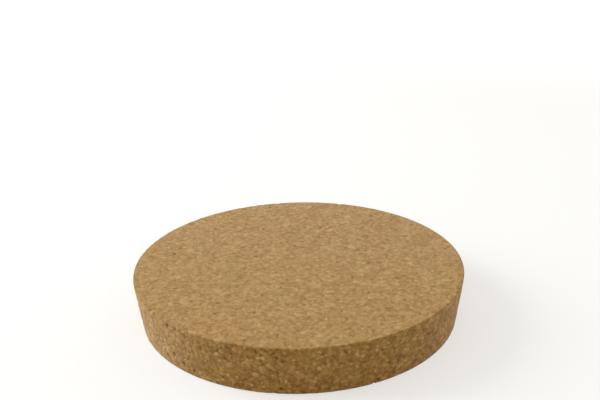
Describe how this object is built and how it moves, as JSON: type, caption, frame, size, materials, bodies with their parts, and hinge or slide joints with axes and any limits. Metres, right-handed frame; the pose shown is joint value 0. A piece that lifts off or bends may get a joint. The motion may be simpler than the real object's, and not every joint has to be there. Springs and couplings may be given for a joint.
{
  "type": "cork stopper",
  "caption": "Round tapered stopper of agglomerated cork, which plugs the wide mouth of a jar or canister.",
  "frame": {"origin": "centre of the narrow lower face, which the stopper stands on", "axes": "+Z along the axis of the taper, from the narrow face to the wide face; X and Y lie in the lower face"},
  "size_m": [0.1268, 0.1268, 0.019],
  "materials": {
    "cork": "matte"
  },
  "bodies": {
    "root": {"cork_stopper": "cork"}
  },
  "joints": []
}
